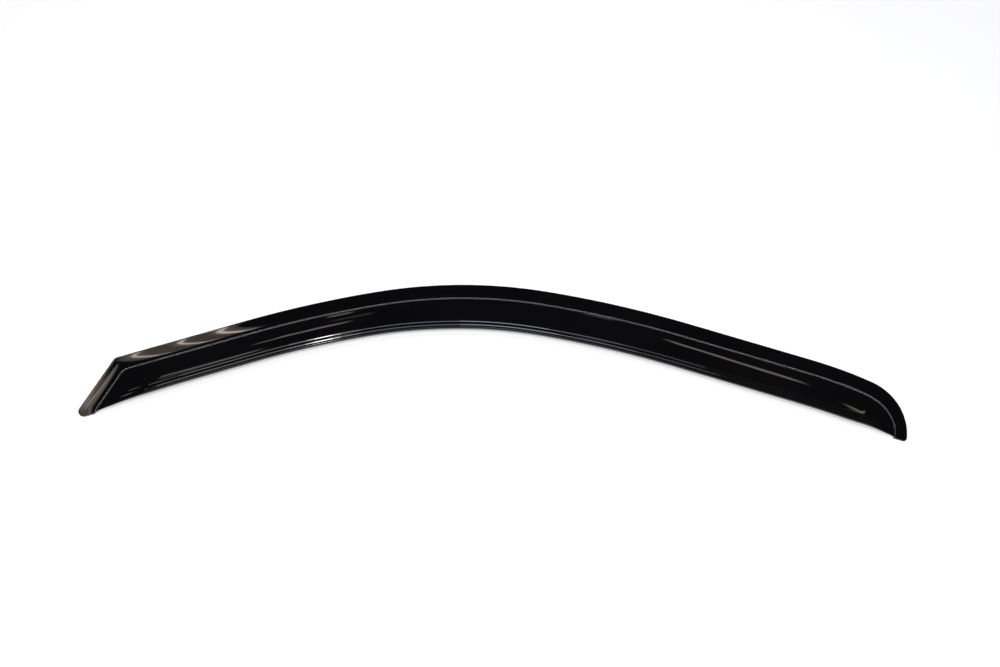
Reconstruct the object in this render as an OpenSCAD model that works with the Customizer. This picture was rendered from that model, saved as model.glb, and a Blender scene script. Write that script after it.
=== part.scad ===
// Window rain deflector: one moulded sheet that arches over the top of a car's door window.
// The sheet lies with the back of its flange on z = 0. Along +X the roof end, along -X the cut front end.
// The origin is on the back of the flange, at the peak of the bend, half way across the flange.

/* [Plan outline] */
// distance from the peak of the bend to the cut front end
front_reach = 463; // [430:1:520]
// distance from the peak of the bend to the rounded rear end
rear_reach = 537; // [500:1:600]
// radius of the outer edge round the peak of the bend
bend_r = 600; // [450:10:800]
// angle the outer edge turns on each side of the peak at that radius
bend_half_angle = 10; // [7:0.5:12]
// radius of the easing curve from the bend to each straight stretch
ease_r = 1350; // [1100:10:1600]
// slope of the straight front stretch, along the window pillar
front_slope = 17.2; // [15:0.1:19]
// slope of the straight rear stretch, along the roof rail
rear_slope = 17.7; // [15:0.1:19]
// width of the sheet in plan along the front stretch
front_w = 62.1; // [58:0.1:66]
// width of the sheet in plan at the peak of the bend
bend_w = 65.1; // [60:0.1:70]
// width of the sheet in plan along the rear stretch
rear_w = 65.6; // [60:0.1:68]

/* [Ends] */
// width of the sheet in plan at the cut front end, where the lower edge flares out
front_end_w = 63; // [61:0.1:66]
// length of that flare
flare_len = 80; // [60:1:88]
// width of the sheet in plan at the rounded rear end
rear_end_w = 67.5; // [63:0.1:68]
// slope of the cut front end
cut_slope = 60.5; // [50:0.5:75]
// radius of the outer corner at the cut front end
front_corner_r = 8; // [4:0.5:14]
// radius of the front end's pointed tip
front_tip_r = 6.8; // [4:0.2:9]
// radius of the gentle curve into the rounded rear end
sweep_r = 450; // [350:10:600]
// angle of that gentle curve
sweep_turn = 9.3; // [6:0.1:12]
// radius of the rounded rear end
round_r = 66; // [58:1:74]
// radius of the rear end's pointed tip
rear_tip_r = 4; // [2:0.5:6]

/* [Flange and shoulder] */
// thickness of the moulded sheet
sheet_t = 3; // [2.5:0.1:3.3]
// width of the flange from its edge to the crest of the shoulder
flange_w = 19.5; // [17:0.5:24]
// the same width at the rear end's tip
rear_flange_w = 16.5; // [14:0.5:19]
// rounding of the flange's upper edge
edge_r = 0.8; // [0.4:0.1:1.5]
// height of the shoulder's crest above the flange's back
crest_h = 7; // [6:0.1:9]
// steepness of the shoulder
shoulder_angle = 50; // [40:1:56]
// radius of the hollow at the foot of the shoulder
foot_r = 8; // [4:0.5:9]
// radius of the crest where the shoulder meets the face
crest_r = 5; // [2:0.5:5]
// radius of the crest line's corner in plan at the cut end
crest_corner_r = 8; // [3:0.5:10]

/* [Face, beads and lip] */
// height the face reaches at the lower edge, above the flange's back
hood_h = 21.9; // [18:0.1:25]
// slope of the face where it leaves the shoulder
face_angle = 25; // [20:0.5:32]
// distance from the lower edge to the crest of the upper bead
bead_inset = 9.2; // [8.5:0.1:11]
// distance between the crests of the two beads
bead_pitch = 4.8; // [4:0.1:4.9]
// width of each bead
bead_w = 3.2; // [2.4:0.1:3.4]
// height of each bead above the face
bead_h = 0.9; // [0.6:0.1:1.4]
// radius of the turned lip's nose
lip_r = 2; // [1.8:0.1:2.1]
// straight part of the turned lip below its nose
lip_skirt = 2.6; // [2.4:0.1:4]
// radius of the hollow on the lip's inner side
lip_inner_r = 0.5; // [0.2:0.1:0.6]
// length over which the hood comes down to the shoulder's height at the front end
front_ramp = 48; // [25:1:60]
// the same length at the rear end
rear_ramp = 45; // [35:1:70]

/* [Hidden] */
rise_h = hood_h - crest_h;
bow = tan(face_angle) * (bend_w - flange_w) / rise_h;
low_slope = (2 - bow) * rise_h / (bend_w - flange_w);
end_turn = cut_slope - front_slope;
foot_e = (crest_h - sheet_t) / tan(shoulder_angle);
foot_tangent = foot_r * tan(shoulder_angle / 2);
crest_tangent = crest_r * tan((shoulder_angle - face_angle) / 2);
inner_shift = sheet_t * tan((shoulder_angle + face_angle / 2) / 2) * 0.75;
// The sheet is drawn a little deeper than z = 0 and then planed flat there.
spare = 1;
inner_foot_e = (crest_h - sheet_t + spare) / tan(shoulder_angle) - inner_shift;

// Directions and moves in plan. A pose is a point and a heading.
function unit(a) = [cos(a), sin(a)];
function right(a) = [sin(a), -cos(a)];
function arc_move(pose, r, turn) = [pose[0] + r * right(pose[1]) - r * right(pose[1] - turn), pose[1] - turn];
function line_move(pose, length) = [pose[0] + length * unit(pose[1]), pose[1]];
function mix(a, b, t) = a + (b - a) * t;
function clamp01(v) = min(1, max(0, v));
function ease(t) = (1 - cos(180 * clamp01(t))) / 2;

// The outer edge of one half, drawn from the peak towards +X.
peak = [[0, flange_w / 2], 0];
after_bend = arc_move(peak, bend_r, bend_half_angle);
front_eased = arc_move(after_bend, ease_r, front_slope - bend_half_angle);
rear_eased = arc_move(after_bend, ease_r, rear_slope - bend_half_angle);

// The cut front end in its own frame: p along the straight stretch, q across the sheet.
cut_q = front_corner_r * (1 - cos(end_turn));
cut_p = front_corner_r * sin(end_turn);
tip_q = front_end_w - front_tip_r * (1 + cos(end_turn));
cut_len = (tip_q - cut_q) / sin(end_turn);
front_end_x = cut_len * cos(cut_slope) + front_corner_r * (sin(cut_slope) - sin(front_slope))
    + front_tip_r * (1 - sin(cut_slope));
front_straight = (front_reach - front_eased[0][0] - front_end_x) / cos(front_slope);
front_pose = line_move(front_eased, front_straight);
crest_p = (front_corner_r - flange_w) * tan(end_turn / 2);
crest_tan = crest_corner_r * tan(end_turn / 2);
crest_run = (front_end_w - flange_w) / sin(end_turn);

// The rounded rear end in its own frame.
round_c = [(sweep_r - round_r) * sin(sweep_turn), sweep_r - (sweep_r - round_r) * cos(sweep_turn)];
round_end = acos((round_c[1] + rear_tip_r - rear_end_w) / (round_r - rear_tip_r));
rear_crest_r = round_r - rear_flange_w;
rear_crest_end = acos((round_c[1] - rear_end_w) / rear_crest_r);
tip_c = round_c + (round_r - rear_tip_r) * [sin(round_end), -cos(round_end)];
rear_end_x = round_c[0] * cos(rear_slope) - round_c[1] * sin(rear_slope) + round_r;
rear_straight = (rear_reach - rear_eased[0][0] - rear_end_x) / cos(rear_slope);
rear_pose = line_move(rear_eased, rear_straight);

// A station is [edge point, crest point, lower edge point, width, flange width, q where the rise begins].
function local(pose, v) = pose[0] + v[0] * unit(pose[1]) + v[1] * right(pose[1]);
function top_station(pose, width) = [
    pose[0],
    pose[0] + flange_w * right(pose[1]),
    pose[0] + width * right(pose[1]),
    width, flange_w, flange_w
];
function end_station(pose, edge, crest, width, fw, q0) = [
    local(pose, edge), local(pose, crest), local(pose, [crest[0], width]), width, fw, q0
];
function swing(c, r, a) = c + r * [sin(a), -cos(a)];

// Widths ease from the bend to each straight stretch by the heading of the edge, and then out to the end.
function half_stations(eased, slope, straight, width, end_width, marks) = concat(
    [for (i = [0:8]) let (a = bend_half_angle * i / 8)
        top_station(arc_move(peak, bend_r, a), mix(bend_w, width, ease(a / slope)))],
    [for (i = [1:9]) let (a = (slope - bend_half_angle) * i / 9)
        top_station(arc_move(after_bend, ease_r, a), mix(bend_w, width, ease((bend_half_angle + a) / slope)))],
    [for (m = marks) top_station(line_move(eased, straight + m), mix(width, end_width, ease(1 + m / flare_len)))]
);

front_corner = [for (i = [0:4]) let (a = end_turn * i / 4)
    end_station(front_pose, swing([0, front_corner_r], front_corner_r, a),
        swing([crest_p - crest_tan, flange_w + crest_corner_r], crest_corner_r, a), front_end_w, flange_w, flange_w)];
function cut_crest(t) = let (run = mix(crest_tan, crest_run, t))
    [crest_p + run * cos(end_turn), flange_w + run * sin(end_turn)];
front_cut = [for (i = [1:6])
    end_station(front_pose, [cut_p + cut_len * cos(end_turn) * i / 6, cut_q + cut_len * sin(end_turn) * i / 6],
        cut_crest(0.8 * i / 6), front_end_w, flange_w, flange_w)];
front_tip_c = [cut_p + cut_len * cos(end_turn) - front_tip_r * sin(end_turn), front_end_w - front_tip_r];
front_tip = [for (i = [1:8])
    end_station(front_pose, swing(front_tip_c, front_tip_r, end_turn + (180 - end_turn) * i / 8),
        cut_crest(mix(0.8, 1, pow(i / 8, 2))), front_end_w, flange_w, flange_w)];

rear_sweep = [for (i = [1:6]) let (a = sweep_turn * i / 6)
    end_station(rear_pose, swing([0, sweep_r], sweep_r, a), swing([0, sweep_r], sweep_r - flange_w, a),
        mix(rear_w, rear_end_w, ease(i / 6)), flange_w, sweep_r - (sweep_r - flange_w) * cos(a))];
// Round the end the flange narrows towards the tip.
function rear_width(t) = mix(flange_w, rear_flange_w, ease(t));
function rear_crest(t) = swing(round_c, round_r - rear_width(t), mix(sweep_turn, rear_crest_end, t));
rear_round = [for (i = [1:14]) let (t = 0.86 * i / 14, crest = rear_crest(t))
    end_station(rear_pose, swing(round_c, round_r, mix(sweep_turn, round_end, i / 14)), crest, rear_end_w,
        rear_width(t), crest[1])];
rear_tip = [for (i = [1:6]) let (t = mix(0.86, 1, pow(i / 6, 2)), crest = rear_crest(t))
    end_station(rear_pose, swing(tip_c, rear_tip_r, mix(round_end, 180, i / 6)), crest, rear_end_w,
        rear_width(t), crest[1])];

function mirrored(s) = [[-s[0][0], s[0][1]], [-s[1][0], s[1][1]], [-s[2][0], s[2][1]], s[3], s[4], s[5]];
function reversed(list) = [for (i = [len(list) - 1:-1:0]) list[i]];
front_half = concat(
    half_stations(front_eased, front_slope, front_straight, front_w, front_end_w, [-90, -66, -54, -44, -35, -27, -20, -14]),
    front_corner, front_cut, front_tip);
rear_half = concat(half_stations(rear_eased, rear_slope, rear_straight, rear_w, rear_w, [-90, -30, 0]),
    rear_sweep, rear_round, rear_tip);
stations = concat([for (s = reversed(front_half)) mirrored(s)], [for (i = [1:len(rear_half) - 1]) rear_half[i]]);
last = len(stations) - 1;

// The hood grows to full height away from both ends.
front_mark = mirrored(front_corner[4])[1];
front_in = [sin(cut_slope), -cos(cut_slope)];
rear_mark = rear_half[len(rear_half) - 1][1];
function ramp(d, length) = sin(90 * clamp01(d / length));
function ramp_rate(d, length) = d < 0 || d > length ? 0 : cos(90 * d / length) * PI / 2 / length;
function front_d(p) = (p - front_mark) * front_in;
function rear_d(p) = (rear_mark - p) * unit(-rear_slope);
function grown(p) = ramp(front_d(p), front_ramp) * ramp(rear_d(p), rear_ramp);
function grown_rate(p) = max(ramp_rate(front_d(p), front_ramp), ramp_rate(rear_d(p), rear_ramp));

// Height of the face, and of the wall under it, at plan point p, a distance b from the lower edge of station s.
function face_t(s, b) = clamp01((s[3] - b - s[5]) / (s[3] - s[5] + 0.001));
function face_rise(t) = rise_h * (bow * t - (bow - 1) * t * t);
function face_z(s, p, b) = crest_h + face_rise(face_t(s, b)) * grown(p);
function wall(s, p, b) = let (t = face_t(s, b),
        across = rise_h * (bow - 2 * (bow - 1) * t) * grown(p) / (bend_w - flange_w),
        along = face_rise(t) * grown_rate(p))
    sheet_t * sqrt(1 + across * across + along * along);

// Rows of the flange and shoulder: [distance short of the crest or from the edge, height].
edge_rows = [[0, sheet_t - edge_r], [0.3 * edge_r, sheet_t - 0.3 * edge_r], [edge_r, sheet_t]];
foot_rows = [for (i = [0:4]) let (a = shoulder_angle * i / 4)
    [foot_e + foot_tangent - foot_r * sin(a), sheet_t + foot_r * (1 - cos(a))]];
crest_row = [crest_tangent * cos(shoulder_angle), crest_h - crest_tangent * sin(shoulder_angle)];

// Rows of the bead and lip zone: [distance from the lower edge, height above the face].
function bead_rows(b) = [for (i = [-2:2]) [b - i * bead_w / 4, bead_h * (i == 0 ? 1 : abs(i) == 1 ? 0.7 : 0)]];
nose_rows = [for (i = [0:4]) [lip_r * (1 - sin(22.5 * i)), -lip_r * (1 - cos(22.5 * i))]];
zone_rows = concat(bead_rows(bead_inset), bead_rows(bead_inset - bead_pitch), nose_rows,
    [[0, -lip_r - lip_skirt]]);
zone_start = zone_rows[0][0];
// Rows of the lip's inner side: [distance from the lower edge, depth below the inner face].
lip_drop = lip_r + lip_skirt - sheet_t * (1 + low_slope);
inner_lip_rows = [[sheet_t, lip_drop], [sheet_t, lip_inner_r],
    [sheet_t + 0.3 * lip_inner_r, 0.3 * lip_inner_r], [sheet_t + lip_inner_r, 0]];
face_marks = [0.25, 0.5, 0.75];

function lift(p, z) = [p[0], p[1], z];
function squeeze(span) = min(1, span / (zone_start + 6));
// The ring of one station, from the flange's back edge over the outer side and back along the inner side.
function ring(s) = let (
        edge = s[0], crest = s[1], low = s[2], span = max(0.001, norm(crest - low)),
        up = (crest - low) / span, c = squeeze(span), zone = zone_start * c,
        first = min(crest_tangent, 0.05 * span), shift = (crest - edge) / norm(crest - edge) * min(inner_shift, 0.3 * span),
        inner_crest = crest + shift)
    concat(
        [lift(edge, -spare)],
        [for (r = edge_rows) lift(mix(edge, crest, r[0] / s[4]), r[1])],
        [for (r = foot_rows) lift(mix(edge, crest, 1 - r[0] / s[4]), r[1])],
        [lift(mix(edge, crest, 1 - crest_row[0] / s[4]), crest_row[1])],
        [lift(crest, crest_h)],
        [for (b = concat([span - first], [for (m = face_marks) mix(span - first, zone, m)]))
            lift(low + up * b, face_z(s, low + up * b, b))],
        [for (r = zone_rows) let (b = r[0] * c, p = low + up * b)
            lift(p, face_z(s, p, b) + r[1] * c * grown(p))],
        [for (r = inner_lip_rows) let (b = r[0] * c, p = low + up * b)
            lift(p, face_z(s, p, b) - wall(s, p, b) - r[1] * c * grown(p))],
        [for (m = [0.1, 0.4, 0.7]) let (p = mix(low + up * zone, inner_crest, m), b = norm(p - low))
            lift(p, face_z(s, p, b) - wall(s, p, b))],
        [lift(inner_crest, crest_h - sheet_t)],
        [lift(mix(edge, crest, 1 - inner_foot_e / s[4]), -spare)]
    );

rings = [for (s = stations) ring(s)];
size = len(rings[0]);
crest_at = 10;
inner_crest_at = size - 2;
lip_end_at = inner_crest_at - 3 - len(inner_lip_rows) - 1;
// At both tips the face has no width left, so its rows fall together on the crest.
function at(i, j) = let (k = j % size)
    i * size + ((i > 0 && i < last) || k <= crest_at || k >= inner_crest_at ? k : k <= lip_end_at ? crest_at : inner_crest_at);
function kept(tri) = tri[0] != tri[1] && tri[1] != tri[2] && tri[2] != tri[0];
skin = [for (i = [0:last - 1], j = [0:size - 1])
    each [[at(i, j), at(i + 1, j), at(i + 1, j + 1)], [at(i, j), at(i + 1, j + 1), at(i, j + 1)]]];
function cap(i, flip) = let (hub = i * size + size - 1, rim = concat([for (k = [0:crest_at]) k], [inner_crest_at]))
    [for (k = [0:len(rim) - 2]) let (a = i * size + rim[k], b = i * size + rim[k + 1]) flip ? [hub, b, a] : [hub, a, b]];

module moulding() {
    polyhedron(
        points = [for (r = rings, p = r) p],
        faces = concat([for (tri = skin) if (kept(tri)) tri], cap(0, false), cap(last, true)),
        convexity = 8
    );
}

module below_glass_side() {
    translate([-2 * front_reach, -rear_reach, -2 * spare])
        cube([2 * (front_reach + rear_reach), 2 * rear_reach, 2 * spare]);
}

// The whole moulded sheet: flange, shoulder, hood face, twin beads and turned lip.
module sheet() {
    color([0.03, 0.03, 0.035])
        difference() {
            moulding();
            below_glass_side();
        }
}

sheet();
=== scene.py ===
"""Looks of the window rain deflector: one glossy black moulded sheet, lying face up on a white floor."""

import math

import bpy
import numpy as np
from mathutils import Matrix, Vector


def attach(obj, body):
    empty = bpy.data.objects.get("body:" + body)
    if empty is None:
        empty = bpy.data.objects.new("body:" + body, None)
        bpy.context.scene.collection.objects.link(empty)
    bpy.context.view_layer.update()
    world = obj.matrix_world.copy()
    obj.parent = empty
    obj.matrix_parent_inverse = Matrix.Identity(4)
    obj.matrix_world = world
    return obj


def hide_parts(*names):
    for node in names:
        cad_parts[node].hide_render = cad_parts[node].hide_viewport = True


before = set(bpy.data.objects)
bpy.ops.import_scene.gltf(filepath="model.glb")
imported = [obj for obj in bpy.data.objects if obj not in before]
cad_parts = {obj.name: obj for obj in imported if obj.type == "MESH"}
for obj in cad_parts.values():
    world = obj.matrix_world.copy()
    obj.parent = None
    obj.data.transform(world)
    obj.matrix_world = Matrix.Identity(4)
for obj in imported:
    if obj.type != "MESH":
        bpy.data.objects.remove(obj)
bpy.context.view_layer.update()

MM = 0.001

# Sizes of the moulding in millimetres and degrees, the same as in the part's source.
FRONT_REACH = 463.0
REAR_REACH = 537.0
BEND_R = 600.0
BEND_HALF_ANGLE = 10.0
EASE_R = 1350.0
FRONT_SLOPE = 17.2
REAR_SLOPE = 17.7
FRONT_W = 62.1
BEND_W = 65.1
REAR_W = 65.6
FRONT_END_W = 63.0
FLARE_LEN = 80.0
REAR_END_W = 67.5
CUT_SLOPE = 60.5
FRONT_CORNER_R = 8.0
FRONT_TIP_R = 6.8
SWEEP_R = 450.0
SWEEP_TURN = 9.3
ROUND_R = 66.0
REAR_TIP_R = 4.0
SHEET_T = 3.0
FLANGE_W = 19.5
REAR_FLANGE_W = 16.5
EDGE_R = 0.8
CREST_H = 7.0
SHOULDER_ANGLE = 50.0
HOOD_H = 21.9
FACE_ANGLE = 25.0
BEAD_INSET = 9.2
BEAD_PITCH = 4.8
LIP_R = 2.0
LIP_SKIRT = 2.6
LIP_INNER_R = 0.5
FRONT_RAMP = 48.0
REAR_RAMP = 45.0

# The crest line, read from highlights. It lies further in than the source's, with a wider corner in plan
# and a tighter rounding.
CREST_IN = 1.2
CREST_W = FLANGE_W + CREST_IN
CREST_CORNER_R = 14.0
CREST_REACH = 0.6
# The stations before the cut end's corner are drawn back over this length, so that none crosses the next.
PULL_LEN = 70.0

# The foot of the shoulder, read from highlights: a slow curve up to a turn, then a tight one.
FOOT_R = 13.5
FOOT_TURN = 20.0
FOOT_END_R = 2.0

# The moulded flange over a true plane, read from highlights: a roll at its edge and a sag before the foot.
ROLL_END = 4.6
ROLL_ANGLE = 0.8
SAG_START = 3.8
SAG_POWER = 2.8
SAG_ANGLE = 2.0
FOOT_LIFT = 0.12

# A bead's slopes, from its foot on the face's side to its foot on the lip's side, and where its line shows.
BEAD_SLOPES = ((0, 0), (0.3, 0.22), (1.85, 0.22), (2.15, -0.36), (3.15, -0.36), (3.4, 0))
BEAD_LIT = 2.65
BEAD_EASE = 0.08

# Heights of the extra rows on the flange's upright edge.
EDGE_HEIGHTS = (0.9, 1.6)
# Small roundings of the flange's back edge and of the skirt's rim, outer and inner.
BOTTOM_R = 0.25
RIM_R = 0.6
RIM_INNER_R = 0.4
# The inner corner under the crest, as a share of a true offset.
INNER_CREST_SHARE = 0.75
# Where the inner rows lie, as shares of the face, of the shoulder and of the flange's back.
INNER_FACE_ENDS = (0.04, 0.94)
INNER_SHOULDER_SHARES = (0.35, 0.7)
BACK_SHARES = (0.12, 0.5, 0.88)

# Near the tips the rows draw together once less face than this is left beside them.
FACE_LEFT = 6.0
# The largest share of the face's width that the crest's rounding takes there.
TIP_SHARE = 0.3
# How much of the crest is used up when the edge reaches its tip.
FRONT_CREST_SHARE = 0.8
REAR_CREST_SHARE = 0.86

# How finely the outline and the rows are cut up.
STEP = 2.6
SMOOTHING = 14.0
SMOOTHING_SHARE = 0.3
CORNER_CUTS = 14
CUT_CUTS = 34
FRONT_TIP_CUTS = 24
ROUND_CUTS = 52
REAR_TIP_CUTS = 18
FLAT_START = 0.3
FLANGE_CUTS = 14
CREST_CUTS = 14
FACE_CUTS = 25
INNER_FACE_ROWS = 14
SHARP_ANGLE = 38.0


def sind(a):
    return math.sin(math.radians(a))


def cosd(a):
    return math.cos(math.radians(a))


def tand(a):
    return math.tan(math.radians(a))


def unit(a):
    return np.array([cosd(a), sind(a)])


def right(a):
    return np.array([sind(a), -cosd(a)])


def mix(a, b, t):
    return a + (b - a) * t


def clamp01(v):
    return min(1.0, max(0.0, v))


def ease(t):
    return (1 - cosd(180 * clamp01(t))) / 2


def arc_move(pose, r, turn):
    point, a = pose
    return point + r * right(a) - r * right(a - turn), a - turn


def line_move(pose, length):
    return pose[0] + length * unit(pose[1]), pose[1]


def local(pose, v):
    return pose[0] + v[0] * unit(pose[1]) + v[1] * right(pose[1])


def swing(centre, r, a):
    return np.array(centre) + r * np.array([sind(a), -cosd(a)])


def top_station(pose, width, pull=0.0):
    """Edge, crest and lower edge in plan, then width, flange width and where the rise starts."""
    return (pose[0], local(pose, (-pull, CREST_W)), local(pose, (-pull, width)), width, CREST_W, CREST_W)


def end_station(pose, edge, crest, width, flange, rise_from):
    """The same for a station near an end, whose edge and crest are placed one by one."""
    low = np.array([crest[0], width])
    return (local(pose, edge), local(pose, crest), local(pose, low), width, flange, rise_from)


def steps(length):
    return max(2, int(round(length / STEP)))


PEAK = (np.array([0.0, FLANGE_W / 2]), 0.0)
AFTER_BEND = arc_move(PEAK, BEND_R, BEND_HALF_ANGLE)


def half_stations(slope, width, end_width, straight, pull=0.0):
    """Stations from the peak to the end of the straight stretch."""
    made = []
    n = steps(BEND_R * math.radians(BEND_HALF_ANGLE))
    for i in range(n + 1):
        a = BEND_HALF_ANGLE * i / n
        made.append(top_station(arc_move(PEAK, BEND_R, a), mix(BEND_W, width, ease(a / slope))))
    turn = slope - BEND_HALF_ANGLE
    n = steps(EASE_R * math.radians(turn))
    for i in range(1, n + 1):
        a = turn * i / n
        share = ease((BEND_HALF_ANGLE + a) / slope)
        made.append(top_station(arc_move(AFTER_BEND, EASE_R, a), mix(BEND_W, width, share)))
    eased = arc_move(AFTER_BEND, EASE_R, turn)
    n = steps(straight)
    for i in range(1, n + 1):
        left = straight * (1 - i / n)
        here = mix(width, end_width, ease(1 - left / FLARE_LEN))
        made.append(top_station(line_move(eased, straight * i / n), here, pull * ease(1 - left / PULL_LEN)))
    return made, line_move(eased, straight)


def front_stations():
    """The front half: bend, straight stretch, corner, cut and pointed tip."""
    turn = CUT_SLOPE - FRONT_SLOPE
    eased = arc_move(AFTER_BEND, EASE_R, FRONT_SLOPE - BEND_HALF_ANGLE)
    cut_q = FRONT_CORNER_R * (1 - cosd(turn))
    cut_p = FRONT_CORNER_R * sind(turn)
    tip_q = FRONT_END_W - FRONT_TIP_R * (1 + cosd(turn))
    cut_len = (tip_q - cut_q) / sind(turn)
    end_x = (cut_len * cosd(CUT_SLOPE) + FRONT_CORNER_R * (sind(CUT_SLOPE) - sind(FRONT_SLOPE))
             + FRONT_TIP_R * (1 - sind(CUT_SLOPE)))
    straight = (FRONT_REACH - eased[0][0] - end_x) / cosd(FRONT_SLOPE)
    crest_p = (FRONT_CORNER_R - CREST_W) * tand(turn / 2)
    crest_tan = CREST_CORNER_R * tand(turn / 2)
    made, pose = half_stations(FRONT_SLOPE, FRONT_W, FRONT_END_W, straight, crest_tan - crest_p)
    smooth_until = len(made) - 1
    crest_run = (FRONT_END_W - CREST_W) / sind(turn)

    def cut_crest(t):
        run = mix(crest_tan, crest_run, t)
        return np.array([crest_p + run * cosd(turn), CREST_W + run * sind(turn)])

    for i in range(1, CORNER_CUTS + 1):
        a = turn * i / CORNER_CUTS
        made.append(end_station(
            pose, swing([0, FRONT_CORNER_R], FRONT_CORNER_R, a),
            swing([crest_p - crest_tan, CREST_W + CREST_CORNER_R], CREST_CORNER_R, a),
            FRONT_END_W, CREST_W, CREST_W))
    mark = made[-1][1]
    for i in range(1, CUT_CUTS + 1):
        along = cut_len * i / CUT_CUTS
        edge = np.array([cut_p + along * cosd(turn), cut_q + along * sind(turn)])
        crest = cut_crest(FRONT_CREST_SHARE * i / CUT_CUTS)
        made.append(end_station(pose, edge, crest, FRONT_END_W, CREST_W, CREST_W))
    centre = [cut_p + cut_len * cosd(turn) - FRONT_TIP_R * sind(turn), FRONT_END_W - FRONT_TIP_R]
    for i in range(1, FRONT_TIP_CUTS + 1):
        share = i / FRONT_TIP_CUTS
        a = mix(turn, 180, share)
        crest = cut_crest(mix(FRONT_CREST_SHARE, 1, share ** 2))
        made.append(end_station(pose, swing(centre, FRONT_TIP_R, a), crest, FRONT_END_W, CREST_W, CREST_W))
    return made, smooth_until, mark


def rear_stations():
    """The rear half: bend, straight stretch, gentle sweep, round end and pointed tip."""
    eased = arc_move(AFTER_BEND, EASE_R, REAR_SLOPE - BEND_HALF_ANGLE)
    inward = SWEEP_R - ROUND_R
    centre = np.array([inward * sind(SWEEP_TURN), SWEEP_R - inward * cosd(SWEEP_TURN)])
    round_end = math.degrees(math.acos((centre[1] + REAR_TIP_R - REAR_END_W) / (ROUND_R - REAR_TIP_R)))
    crest_r = ROUND_R - REAR_FLANGE_W
    crest_end = math.degrees(math.acos((centre[1] - REAR_END_W) / crest_r))
    tip = centre + (ROUND_R - REAR_TIP_R) * np.array([sind(round_end), -cosd(round_end)])
    end_x = centre[0] * cosd(REAR_SLOPE) - centre[1] * sind(REAR_SLOPE) + ROUND_R
    straight = (REAR_REACH - eased[0][0] - end_x) / cosd(REAR_SLOPE)
    made, pose = half_stations(REAR_SLOPE, REAR_W, REAR_W, straight)
    n = steps(SWEEP_R * math.radians(SWEEP_TURN))
    for i in range(1, n + 1):
        a = SWEEP_TURN * i / n
        made.append(end_station(
            pose, swing([0, SWEEP_R], SWEEP_R, a), swing([0, SWEEP_R], SWEEP_R - CREST_W, a),
            mix(REAR_W, REAR_END_W, ease(i / n)), CREST_W, SWEEP_R - (SWEEP_R - CREST_W) * cosd(a)))
    smooth_until = len(made) - 1

    def rear_width(t):
        return mix(CREST_W, REAR_FLANGE_W, ease(t))

    def rear_crest(t):
        return swing(centre, ROUND_R - rear_width(t), mix(SWEEP_TURN, crest_end, t))

    for i in range(1, ROUND_CUTS + 1):
        share = i / ROUND_CUTS
        t = REAR_CREST_SHARE * share
        crest = rear_crest(t)
        edge = swing(centre, ROUND_R, mix(SWEEP_TURN, round_end, share))
        made.append(end_station(pose, edge, crest, REAR_END_W, rear_width(t), crest[1]))
    for i in range(1, REAR_TIP_CUTS + 1):
        share = i / REAR_TIP_CUTS
        t = mix(REAR_CREST_SHARE, 1, share ** 2)
        crest = rear_crest(t)
        edge = swing(tip, REAR_TIP_R, mix(round_end, 180, share))
        made.append(end_station(pose, edge, crest, REAR_END_W, rear_width(t), crest[1]))
    return made, smooth_until, made[-1][1]


def mirrored(point):
    return np.array([-point[0], point[1]])


def smoothed(rail, reach):
    """The rail averaged along itself, over a length that shrinks to nothing towards both ends."""
    along = np.concatenate([[0], np.cumsum(np.linalg.norm(np.diff(rail, axis=0), axis=1))])
    spread = np.maximum(reach, 1e-6)[:, None]
    weight = np.exp(-0.5 * ((along[None, :] - along[:, None]) / spread) ** 2)
    weight[reach <= 0] = np.eye(len(rail))[reach <= 0]
    spacing = np.gradient(along)
    weight = weight * np.maximum(spacing, 1e-9)[None, :]
    return (weight / weight.sum(axis=1, keepdims=True)) @ rail


def all_stations():
    """Rails of the whole sheet, from the front tip to the rear tip."""
    front, front_smooth, front_mark = front_stations()
    rear, rear_smooth, rear_mark = rear_stations()
    front = [tuple(mirrored(v) for v in s[:3]) + s[3:] for s in front[::-1]]
    first_smooth = len(front) - 1 - front_smooth
    stations = front + rear[1:]
    last_smooth = len(front) - 1 + rear_smooth
    rails = [np.array([s[k] for s in stations]) for k in range(3)]
    numbers = np.array([s[3:] for s in stations])
    crest = rails[1]
    along = np.concatenate([[0], np.cumsum(np.linalg.norm(np.diff(crest, axis=0), axis=1))])
    room = np.minimum(along - along[first_smooth], along[last_smooth] - along)
    reach = np.clip(room * SMOOTHING_SHARE, 0, SMOOTHING)
    inside = np.zeros(len(crest), bool)
    inside[first_smooth:last_smooth + 1] = True
    reach[~inside] = 0
    rails = [smoothed(r, reach) for r in rails]
    return rails, numbers, mirrored(front_mark), rear_mark


def blend_curve(a, corner, b, n):
    """Points of a smooth curve that rounds off a corner, ends included."""
    t = np.linspace(0, 1, n + 1)[:, None]
    return (1 - t) ** 2 * a + 2 * t * (1 - t) * corner + t ** 2 * b


def flange_sag(d, flat_end):
    """Height of the moulded flange over a true plane, at a distance from its edge."""
    roll = max(0.0, (ROLL_END - d) / (ROLL_END - EDGE_R))
    lift = max(0.0, (d - SAG_START) / (flat_end - SAG_START))
    edge = math.radians(ROLL_ANGLE) * (ROLL_END - EDGE_R) / 3
    return FOOT_LIFT * lift ** SAG_POWER - edge * roll ** 3


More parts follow.
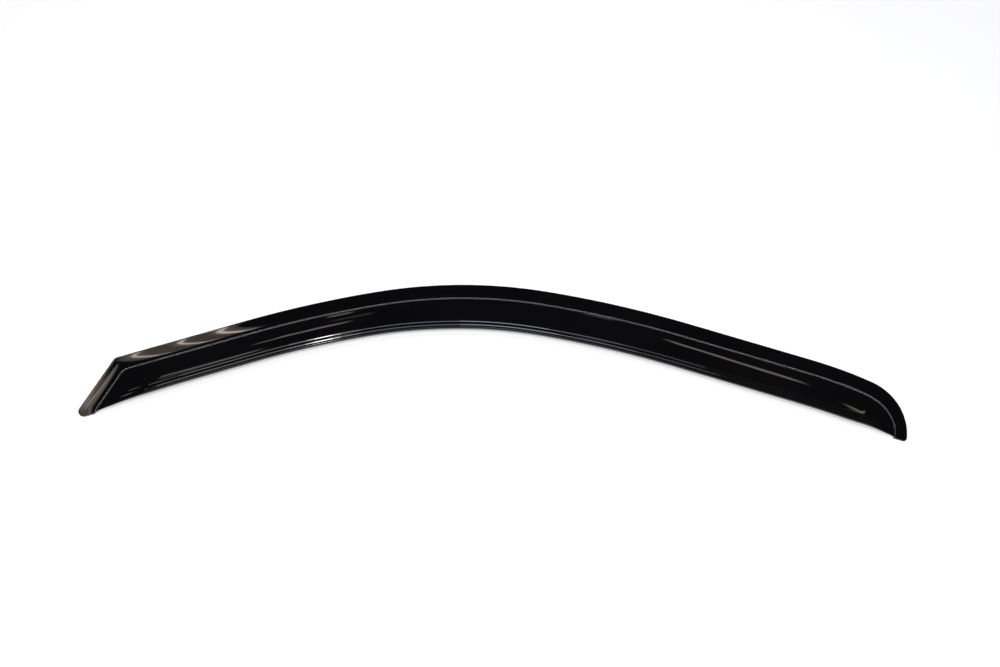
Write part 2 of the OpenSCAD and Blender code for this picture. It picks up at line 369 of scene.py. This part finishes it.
def outer_flange_rows():
    """Rows from the back of the flange's edge to the shoulder.

    Each is a distance and a height. The first list counts from the edge, the second short of the crest.
    """
    arc = np.radians(np.linspace(0, 90, 5))
    near_edge = [(BOTTOM_R * (1 - math.sin(a)), BOTTOM_R * (1 - math.cos(a))) for a in arc]
    near_edge += [(0, z) for z in EDGE_HEIGHTS]
    arc = np.radians(np.linspace(0, 90, 8))
    near_edge += [(EDGE_R * (1 - math.cos(a)), SHEET_T - EDGE_R * (1 - math.sin(a))) for a in arc]
    slow = [(FOOT_R * (sind(a) - sind(SAG_ANGLE)), FOOT_R * (cosd(SAG_ANGLE) - cosd(a)))
            for a in np.linspace(SAG_ANGLE, FOOT_TURN, 9)[1:]]
    tight = [(slow[-1][0] + FOOT_END_R * (sind(a) - sind(FOOT_TURN)),
              slow[-1][1] + FOOT_END_R * (cosd(FOOT_TURN) - cosd(a)))
             for a in np.linspace(FOOT_TURN, SHOULDER_ANGLE, 6)[1:]]
    foot = slow + tight
    straight = CREST_H - SHEET_T - FOOT_LIFT - foot[-1][1]
    foot_length = foot[-1][0] + straight / tand(SHOULDER_ANGLE)
    flat_end = CREST_W - foot_length
    for d in np.linspace(EDGE_R + FLAT_START, flat_end, FLANGE_CUTS + 1):
        near_edge.append((d, SHEET_T + flange_sag(d, flat_end)))
    near_crest = [(foot_length - run, SHEET_T + FOOT_LIFT + rise) for run, rise in foot]
    return near_edge, near_crest


def bead_rows(centre):
    """Rows of one bead: a long rise, a round crown and a flat fall that takes the light."""
    along, slopes = np.array(BEAD_SLOPES).T
    near_kinks = [along[4] - BEAD_EASE, along[3] + BEAD_EASE]
    at = np.sort(np.concatenate([along, (along[1:] + along[:-1]) / 2, near_kinks]))
    fine = np.linspace(0, along[-1], 401)
    slope = np.interp(fine, along, slopes)
    height = np.concatenate([[0], np.cumsum((slope[1:] + slope[:-1]) / 2) * (fine[1] - fine[0])])
    height -= height[-1] * fine / fine[-1]
    return [(centre + BEAD_LIT - t, float(np.interp(t, fine, height))) for t in at]


def zone_rows():
    """Rows of the beads, nose and skirt: distance from the lower edge, height above the face."""
    rows = []
    for centre in (BEAD_INSET, BEAD_INSET - BEAD_PITCH):
        rows += bead_rows(centre)
    for a in np.linspace(0, 90, 15):
        rows.append((LIP_R * (1 - sind(a)), -LIP_R * (1 - cosd(a))))
    end = -LIP_R - LIP_SKIRT
    for a in np.linspace(0, 90, 6):
        rows.append((RIM_R * (1 - cosd(a)), end + RIM_R * (1 - sind(a))))
    return rows


def lip_inner_rows():
    """Rows of the lip's inner side: distance from the lower edge, depth below the inner face."""
    end = LIP_R + LIP_SKIRT - SHEET_T * (1 + LOW_SLOPE)
    rows = [(SHEET_T - RIM_INNER_R * (1 - sind(a)), end - RIM_INNER_R * (1 - cosd(a)))
            for a in np.linspace(0, 90, 5)]
    for a in np.linspace(0, 90, 5):
        rows.append((SHEET_T + LIP_INNER_R * (1 - cosd(a)), LIP_INNER_R * (1 - sind(a))))
    return rows


rails, numbers, front_mark, rear_mark = all_stations()
EDGE, CREST, LOW = rails
RISE_H = HOOD_H - CREST_H
BOW = tand(FACE_ANGLE) * (BEND_W - CREST_W) / RISE_H
LOW_SLOPE = (2 - BOW) * RISE_H / (BEND_W - CREST_W)


def ramp(d, length):
    return sind(90 * clamp01(d / length))


def ramp_rate(d, length):
    return 0 if d < 0 or d > length else cosd(90 * d / length) * math.pi / 2 / length


def grown(p):
    front = ramp(float((p - front_mark) @ np.array([sind(CUT_SLOPE), -cosd(CUT_SLOPE)])), FRONT_RAMP)
    return front * ramp(float((rear_mark - p) @ unit(-REAR_SLOPE)), REAR_RAMP)


def grown_rate(p):
    front = ramp_rate(float((p - front_mark) @ np.array([sind(CUT_SLOPE), -cosd(CUT_SLOPE)])), FRONT_RAMP)
    return max(front, ramp_rate(float((rear_mark - p) @ unit(-REAR_SLOPE)), REAR_RAMP))


def face_t(width, rise_from, b):
    return clamp01((width - b - rise_from) / (width - rise_from + 0.001))


def face_rise(t):
    return RISE_H * (BOW * t - (BOW - 1) * t * t)


def ring(i, near_edge, near_crest, zone, inner_lip):
    """The points round one station, from the back of the edge over the outer side and back inside."""
    edge, crest, low = EDGE[i], CREST[i], LOW[i]
    width, flange, rise_from = numbers[i]
    span = max(0.001, float(np.linalg.norm(crest - low)))
    up = (crest - low) / span
    squeeze = min(1.0, span / (zone[0][0] + FACE_LEFT))
    zone_b = zone[0][0] * squeeze
    outward = (crest - edge) / np.linalg.norm(crest - edge)

    def on_face(b):
        p = low + up * b
        return np.array([p[0], p[1], CREST_H + face_rise(face_t(width, rise_from, b)) * grown(p)])

    def inner_face(b):
        p = low + up * b
        t = face_t(width, rise_from, b)
        g = grown(p)
        across = RISE_H * (BOW - 2 * (BOW - 1) * t) * g / (BEND_W - CREST_W)
        slope = face_rise(t) * grown_rate(p)
        wall = SHEET_T * math.sqrt(1 + across * across + slope * slope)
        return np.array([p[0], p[1], CREST_H + face_rise(t) * g - wall])

    def on_flange(t, z):
        p = mix(edge, crest, t)
        return np.array([p[0], p[1], z])

    points = [on_flange(d / flange, z) for d, z in near_edge]
    points += [on_flange(1 - d / flange, z) for d, z in near_crest]
    reach = min(CREST_REACH, TIP_SHARE * span)
    below = CREST_REACH * np.array([cosd(SHOULDER_ANGLE), sind(SHOULDER_ANGLE)])
    start = on_flange(1 - below[0] / flange, CREST_H - below[1])
    corner = np.array([crest[0], crest[1], CREST_H])
    points += list(blend_curve(start, corner, on_face(span - reach), CREST_CUTS))
    crest_at = len(points) - 1
    points += [on_face(mix(span - reach, zone_b, k)) for k in np.linspace(0, 1, FACE_CUTS + 1)[1:-1]]
    for b, rise in zone:
        p = on_face(b * squeeze)
        p[2] += rise * squeeze * grown(p[:2])
        points.append(p)
    lip_end = len(points) - 1
    for b, drop in inner_lip:
        p = inner_face(b * squeeze)
        p[2] -= drop * squeeze * grown(p[:2])
        points.append(p)
    shift = SHEET_T * tand((SHOULDER_ANGLE + FACE_ANGLE / 2) / 2) * INNER_CREST_SHARE
    inner_crest = crest + outward * min(shift, TIP_SHARE * span)
    lip_top = low + up * zone_b
    for k in np.linspace(*INNER_FACE_ENDS, INNER_FACE_ROWS):
        p = mix(lip_top, inner_crest, k)
        height = inner_face(float(np.linalg.norm(p - low)))[2]
        points.append(np.array([p[0], p[1], height]))
    inner_crest_at = len(points)
    inner_h = CREST_H - SHEET_T
    points.append(np.array([inner_crest[0], inner_crest[1], inner_h]))
    foot = inner_h / tand(SHOULDER_ANGLE) - shift
    for k in INNER_SHOULDER_SHARES:
        points.append(on_flange(1 - mix(-shift, foot, k) / flange, inner_h * (1 - k)))
    points.append(on_flange(1 - foot / flange, 0.0))
    points += [on_flange(1 - mix(foot, flange - BOTTOM_R, k) / flange, 0.0) for k in BACK_SHARES]
    return points, crest_at, lip_end, inner_crest_at


def build_sheet():
    """The closed mesh of the whole sheet."""
    near_edge, near_crest = outer_flange_rows()
    zone, inner_lip = zone_rows(), lip_inner_rows()
    rings = [ring(i, near_edge, near_crest, zone, inner_lip) for i in range(len(EDGE))]
    _, crest_at, lip_end, inner_crest_at = rings[0]
    size = len(rings[0][0])
    count = len(rings)
    points = np.array([r[0] for r in rings]).reshape(-1, 3) * MM

    def at(i, j):
        k = j % size
        if 0 < i < count - 1 or k <= crest_at or k >= inner_crest_at:
            return i * size + k
        return i * size + (crest_at if k <= lip_end else inner_crest_at)

    faces = []
    for i in range(count - 1):
        for j in range(size):
            corners = []
            for v in (at(i, j), at(i, j + 1), at(i + 1, j + 1), at(i + 1, j)):
                if v not in corners:
                    corners.append(v)
            if len(corners) > 2:
                faces.append(corners)
    for i, flip in ((0, False), (count - 1, True)):
        section = [*range(crest_at + 1), *range(inner_crest_at, size)]
        rim = [i * size + k for k in section]
        faces.append(rim if flip else rim[::-1])
    used = sorted({v for f in faces for v in f})
    renumber = {v: k for k, v in enumerate(used)}
    mesh = bpy.data.meshes.new("moulded_sheet")
    mesh.from_pydata([tuple(points[v]) for v in used], [], [[renumber[v] for v in f] for f in faces])
    mesh.validate()
    mesh.polygons.foreach_set("use_smooth", [True] * len(mesh.polygons))
    mesh.set_sharp_from_angle(angle=math.radians(SHARP_ANGLE))
    piece = bpy.data.objects.new("moulded_sheet", mesh)
    bpy.context.scene.collection.objects.link(piece)
    return piece


def node_material(name):
    """A new material with an empty node tree."""
    material = bpy.data.materials.new(name)
    material.use_nodes = True
    material.node_tree.nodes.clear()
    return material, material.node_tree.nodes, material.node_tree.links


def gloss_black():
    """Polished black acrylic: deep colour, a faint moulding ripple and an uneven polish."""
    material, nodes, links = node_material("gloss_black")
    out = nodes.new("ShaderNodeOutputMaterial")
    shader = nodes.new("ShaderNodeBsdfPrincipled")
    shader.inputs["IOR"].default_value = 1.49
    links.new(shader.outputs["BSDF"], out.inputs["Surface"])
    place = nodes.new("ShaderNodeTexCoord")

    tint = nodes.new("ShaderNodeTexNoise")
    tint.inputs["Scale"].default_value = 7.0
    tint.inputs["Detail"].default_value = 2.0
    links.new(place.outputs["Object"], tint.inputs["Vector"])
    colour = nodes.new("ShaderNodeValToRGB")
    colour.color_ramp.elements[0].position = 0.35
    colour.color_ramp.elements[0].color = (0.0014, 0.0014, 0.0018, 1)
    colour.color_ramp.elements[1].position = 0.65
    colour.color_ramp.elements[1].color = (0.0022, 0.0021, 0.0026, 1)
    links.new(tint.outputs["Fac"], colour.inputs["Fac"])
    links.new(colour.outputs["Color"], shader.inputs["Base Color"])

    polish = nodes.new("ShaderNodeTexNoise")
    polish.inputs["Scale"].default_value = 60.0
    polish.inputs["Detail"].default_value = 4.0
    links.new(place.outputs["Object"], polish.inputs["Vector"])
    rough = nodes.new("ShaderNodeMapRange")
    rough.inputs["From Min"].default_value = 0.3
    rough.inputs["From Max"].default_value = 0.7
    rough.inputs["To Min"].default_value = 0.012
    rough.inputs["To Max"].default_value = 0.026
    links.new(polish.outputs["Fac"], rough.inputs["Value"])
    links.new(rough.outputs["Result"], shader.inputs["Roughness"])

    ripple = nodes.new("ShaderNodeTexNoise")
    ripple.inputs["Scale"].default_value = 45.0
    ripple.inputs["Detail"].default_value = 1.0
    links.new(place.outputs["Object"], ripple.inputs["Vector"])
    bump = nodes.new("ShaderNodeBump")
    bump.inputs["Strength"].default_value = 0.035
    bump.inputs["Distance"].default_value = 0.00012
    links.new(ripple.outputs["Fac"], bump.inputs["Height"])
    links.new(bump.outputs["Normal"], shader.inputs["Normal"])
    return material


# The floor: half its side and its drop below the object in metres, its glow to camera and gloss, its colour.
FLOOR_HALF = 40.0
FLOOR_GAP = 0.00005
FLOOR_GLOW = 0.3
FLOOR_COLOUR = (0.8, 0.8, 0.8, 1)


def white_floor():
    """A white floor that keeps the object's shadow and that gloss surfaces see as white too."""
    material, nodes, links = node_material("floor_white")
    out = nodes.new("ShaderNodeOutputMaterial")
    add = nodes.new("ShaderNodeAddShader")
    diffuse = nodes.new("ShaderNodeBsdfDiffuse")
    diffuse.inputs["Color"].default_value = FLOOR_COLOUR
    glow = nodes.new("ShaderNodeEmission")
    path = nodes.new("ShaderNodeLightPath")
    seen = nodes.new("ShaderNodeMath")
    seen.operation = "MAXIMUM"
    links.new(path.outputs["Is Camera Ray"], seen.inputs[0])
    links.new(path.outputs["Is Glossy Ray"], seen.inputs[1])
    both = nodes.new("ShaderNodeMath")
    both.operation = "MAXIMUM"
    links.new(seen.outputs[0], both.inputs[0])
    links.new(path.outputs["Is Transmission Ray"], both.inputs[1])
    level = nodes.new("ShaderNodeMath")
    level.operation = "MULTIPLY"
    level.inputs[1].default_value = FLOOR_GLOW
    links.new(both.outputs[0], level.inputs[0])
    links.new(level.outputs[0], glow.inputs["Strength"])
    links.new(diffuse.outputs["BSDF"], add.inputs[0])
    links.new(glow.outputs["Emission"], add.inputs[1])
    clear = nodes.new("ShaderNodeBsdfTransparent")
    side = nodes.new("ShaderNodeNewGeometry")
    pick = nodes.new("ShaderNodeMixShader")
    links.new(side.outputs["Backfacing"], pick.inputs["Fac"])
    links.new(add.outputs["Shader"], pick.inputs[1])
    links.new(clear.outputs["BSDF"], pick.inputs[2])
    links.new(pick.outputs["Shader"], out.inputs["Surface"])
    return material


def make_floor():
    """A wide white square just under the object."""
    mesh = bpy.data.meshes.new("floor")
    corners = [(-FLOOR_HALF, -FLOOR_HALF, 0), (FLOOR_HALF, -FLOOR_HALF, 0),
               (FLOOR_HALF, FLOOR_HALF, 0), (-FLOOR_HALF, FLOOR_HALF, 0)]
    mesh.from_pydata(corners, [], [(0, 1, 2, 3)])
    floor = bpy.data.objects.new("floor", mesh)
    bpy.context.scene.collection.objects.link(floor)
    floor.location.z = -FLOOR_GAP
    mesh.materials.append(white_floor())


def calc(net, operation, *values):
    """A maths node over sockets or plain numbers."""
    nodes, links = net
    node = nodes.new("ShaderNodeMath")
    node.operation = operation
    for k, v in enumerate(values):
        if isinstance(v, (int, float)):
            node.inputs[k].default_value = v
        else:
            links.new(v, node.inputs[k])
    return node.outputs[0]


def soft_step(net, value, centre, soft, rising=True):
    """Nought below the centre and one above it, with a smooth change, or the other way round."""
    nodes, links = net
    node = nodes.new("ShaderNodeMapRange")
    node.interpolation_type = "SMOOTHSTEP"
    node.inputs["From Min"].default_value = centre - soft
    node.inputs["From Max"].default_value = centre + soft
    node.inputs["To Min"].default_value = 0 if rising else 1
    node.inputs["To Max"].default_value = 1 if rising else 0
    links.new(value, node.inputs["Value"])
    return node.outputs["Result"]


def product(net, masks):
    """All masks multiplied together."""
    made = masks[0]
    for m in masks[1:]:
        made = calc(net, "MULTIPLY", made, m)
    return made


def patch(net, tilt, side, tilts, sides, softness, lean=0.0):
    """A soft box in the studio's air: tilts from overhead towards +Y and sides towards +X, in degrees."""
    middle = (sides[0] + sides[1]) / 2
    if lean:
        tilt = calc(net, "SUBTRACT", tilt, calc(net, "MULTIPLY", calc(net, "SUBTRACT", side, middle), lean))
    return product(net, [
        soft_step(net, tilt, tilts[0], softness[0]), soft_step(net, tilt, tilts[1], softness[0], False),
        soft_step(net, side, sides[0], softness[1]), soft_step(net, side, sides[1], softness[1], False)])


# Tints of the lights.
WARM = (1.22, 1.0, 0.83)
PINK = (1.12, 0.96, 0.88)
PLAIN = (1.0, 0.98, 0.97)
PALE_PINK = (1.05, 0.96, 0.99)
BLUE = (0.86, 0.93, 1.12)
COOL = (0.97, 1.0, 1.03)

# The dim studio: its own level, and the glow overhead with its tilts in degrees and their softness.
DARK_LEVEL = 0.035
GLOW_LEVEL = 0.25
GLOW_TILTS = (-70.0, 9.0)
GLOW_SOFT = (15.0, 6.0)
# The horizon, up to a height on the unit sphere, and how much brighter it is behind the object.
HORIZON_LEVEL = 0.5
HORIZON_TOP = 0.065
HORIZON_SOFT = 0.02
BEHIND_LEVEL = 8.0
BEHIND_FROM = 0.2
BEHIND_SOFT = 0.4
# How far the edges of the soft boxes wander, in degrees.
WANDER = 1.6

# The studio's air: tilts, sides, softness of both, lean, brightness and tint of each soft box.
# The first seven make the short streaks on the face. The rest make the flange's warm fill and arcs.
SOFT_BOXES = (
    ((62.1, 63.4), (-17.9, -11.9), (0.4, 0.6), 0.15, 2.2, PINK),
    ((66.6, 68.2), (-13.2, -10.4), (0.4, 0.5), 0.1, 0.45, PLAIN),
    ((71.7, 73.1), (-13.9, -12.3), (0.3, 0.3), 0.0, 1.7, PLAIN),
    ((54.5, 55.8), (-21.6, -17.0), (0.4, 0.6), 0.0, 2.0, PLAIN),
    ((60.9, 62.6), (15.5, 20.8), (0.4, 0.6), -0.62, 2.3, PINK),
    ((69.4, 71.0), (10.2, 12.2), (0.4, 0.4), 0.0, 0.8, PLAIN),
    ((52.8, 54.6), (23.1, 28.2), (0.6, 0.4), 0.59, 2.6, PINK),
    ((12.0, 26.0), (-14.36, -9.95), (1.5, 0.04), 0.0, 0.85, WARM),
    ((12.0, 20.9), (-18.8, -14.85), (0.4, 0.05), 0.0, 1.15, WARM),
    ((12.0, 26.5), (-14.1, -13.4), (1.5, 0.2), 0.0, 0.7, PINK),
    ((12.0, 26.5), (-12.4, -11.8), (1.5, 0.2), 0.0, 0.7, PINK),
    ((12.0, 26.5), (-10.9, -10.2), (1.5, 0.2), 0.0, 0.7, PINK),
    ((12.0, 26.5), (-13.84, -13.66), (1.0, 0.05), 0.0, 8.0, PINK),
    ((12.0, 26.5), (-12.16, -11.98), (1.0, 0.05), 0.0, 8.0, PINK),
    ((12.0, 26.5), (-10.74, -10.48), (1.0, 0.06), 0.0, 8.5, PINK),
    ((12.0, 20.9), (-17.0, -16.5), (0.4, 0.15), 0.0, 1.6, PINK),
    ((18.6, 20.6), (-16.1, -15.35), (0.5, 0.15), 0.0, 2.5, PINK),
)


def make_world():
    """A dark studio with a bright horizon, a dim glow overhead and soft boxes behind the object.

    The camera sees plain white in its place.
    """
    world = bpy.data.worlds.new("studio")
    bpy.context.scene.world = world
    world.use_nodes = True
    nodes, links = world.node_tree.nodes, world.node_tree.links
    nodes.clear()
    net = nodes, links
    out = nodes.new("ShaderNodeOutputWorld")
    back = nodes.new("ShaderNodeBackground")
    place = nodes.new("ShaderNodeTexCoord")
    split = nodes.new("ShaderNodeSeparateXYZ")
    links.new(place.outputs["Generated"], split.inputs["Vector"])
    x, y, z = split.outputs
    degrees = 180 / math.pi
    cloud = nodes.new("ShaderNodeTexNoise")
    cloud.inputs["Scale"].default_value = 30.0
    cloud.inputs["Detail"].default_value = 1.0
    links.new(place.outputs["Generated"], cloud.inputs["Vector"])
    wander = calc(net, "MULTIPLY", calc(net, "SUBTRACT", cloud.outputs["Fac"], 0.5), WANDER)
    tilt = calc(net, "ADD", calc(net, "MULTIPLY", calc(net, "ARCTAN2", y, z), degrees), wander)
    side = calc(net, "MULTIPLY", calc(net, "ARCSINE", x), degrees)

    glow = product(net, [
        soft_step(net, tilt, GLOW_TILTS[1], GLOW_SOFT[1], False),
        soft_step(net, tilt, GLOW_TILTS[0], GLOW_SOFT[0])])
    level = calc(net, "ADD", DARK_LEVEL, calc(net, "MULTIPLY", glow, GLOW_LEVEL))
    horizon = soft_step(net, z, HORIZON_TOP, HORIZON_SOFT, False)
    behind = soft_step(net, y, BEHIND_FROM, BEHIND_SOFT)
    shine = calc(net, "ADD", HORIZON_LEVEL, calc(net, "MULTIPLY", behind, BEHIND_LEVEL))
    level = calc(net, "ADD", level, calc(net, "MULTIPLY", horizon, shine))
    total = nodes.new("ShaderNodeVectorMath")
    total.operation = "SCALE"
    total.inputs[0].default_value = COOL
    links.new(level, total.inputs["Scale"])
    colour = total.outputs[0]
    for tilts, sides, softness, lean, brightness, tint in SOFT_BOXES:
        mask = patch(net, tilt, side, tilts, sides, softness, lean)
        scaled = nodes.new("ShaderNodeVectorMath")
        scaled.operation = "SCALE"
        scaled.inputs[0].default_value = [brightness * c for c in tint]
        links.new(mask, scaled.inputs["Scale"])
        added = nodes.new("ShaderNodeVectorMath")
        added.operation = "ADD"
        links.new(colour, added.inputs[0])
        links.new(scaled.outputs[0], added.inputs[1])
        colour = added.outputs[0]

    path = nodes.new("ShaderNodeLightPath")
    shown = nodes.new("ShaderNodeMix")
    shown.data_type = "RGBA"
    links.new(path.outputs["Is Camera Ray"], shown.inputs["Factor"])
    links.new(colour, shown.inputs["A"])
    shown.inputs["B"].default_value = (1, 1, 1, 1)
    links.new(shown.outputs["Result"], back.inputs["Color"])
    links.new(back.outputs["Background"], out.inputs["Surface"])


def area_lamp(name, place, size, radiance, colour=(1, 1, 1), spin=0):
    """A rectangular lamp that looks straight down, spun about its own axis, with a stated radiance."""
    data = bpy.data.lights.new(name, "AREA")
    data.shape = "RECTANGLE"
    data.size, data.size_y = size
    data.color = colour
    data.energy = radiance * math.pi * size[0] * size[1]
    lamp = bpy.data.objects.new(name, data)
    bpy.context.scene.collection.objects.link(lamp)
    lamp.location = place
    lamp.rotation_euler = (0, 0, math.radians(spin))
    return lamp


# Lamps in metres: the bank over the beads, the slanted key that makes their hot spot, and the light in front.
BANK_Y = 0.35
BANK_Z = 2.2
BANK_DEPTH = 0.5
KEY_X = -0.345
KEY_SPIN = 12.6
FRONT_PLACE = (0.05, -0.72, 2.2)
FRONT_SIZE = (2.2, 0.4)
FRONT_RADIANCE = 16.0


def make_lamps():
    """Bright strips that the beads mirror, and a wide lamp for the floor that isn't seen in gloss."""
    for name, x, z, width, radiance, colour in (
            ("overhead_left", -0.58, BANK_Z, 0.3, 2.8, (1, 1, 1)),
            ("overhead", -0.075, BANK_Z, 0.71, 3.2, BLUE),
            ("overhead_middle", 0.025, BANK_Z - 0.01, 0.17, 3.3, BLUE),
            ("overhead_tail", 0.38, BANK_Z, 0.2, 1.5, BLUE)):
        area_lamp(name, (x, BANK_Y, z), (width, BANK_DEPTH), radiance, colour)
    for name, drop, width, radiance in (
            ("key", 0.05, 0.045, 22.0),
            ("key_rim", 0.04, 0.08, 11.0),
            ("key_wing", 0.03, 0.17, 2.8)):
        place = (KEY_X, BANK_Y, BANK_Z - drop)
        area_lamp(name, place, (width, BANK_DEPTH), radiance, PALE_PINK, KEY_SPIN)
    front = area_lamp("front", FRONT_PLACE, FRONT_SIZE, FRONT_RADIANCE)
    front.visible_glossy = False


# The camera fitted to the photograph: what it looks at, how far off and how high it stands, and its lens.
CAMERA_LOOK = (0.047, -0.05475, 0.0)
CAMERA_DISTANCE = 1.85273
CAMERA_ELEVATION = 69.0
CAMERA_LENS = 54.0


def make_camera():
    """The photograph's view."""
    data = bpy.data.cameras.new("camera")
    data.lens = CAMERA_LENS
    data.sensor_width = 36.0
    camera = bpy.data.objects.new("camera", data)
    bpy.context.scene.collection.objects.link(camera)
    back = Vector((0, -cosd(CAMERA_ELEVATION), sind(CAMERA_ELEVATION)))
    camera.location = Vector(CAMERA_LOOK) + back * CAMERA_DISTANCE
    camera.rotation_euler = (-back).to_track_quat("-Z", "Y").to_euler()
    data.clip_start = 0.05
    data.clip_end = 200
    bpy.context.scene.camera = camera


sheet = build_sheet()
sheet.data.materials.append(gloss_black())
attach(sheet, "root")
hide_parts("sheet")

make_floor()
make_world()
make_camera()
make_lamps()

view = bpy.context.scene.view_settings
view.view_transform = "Standard"
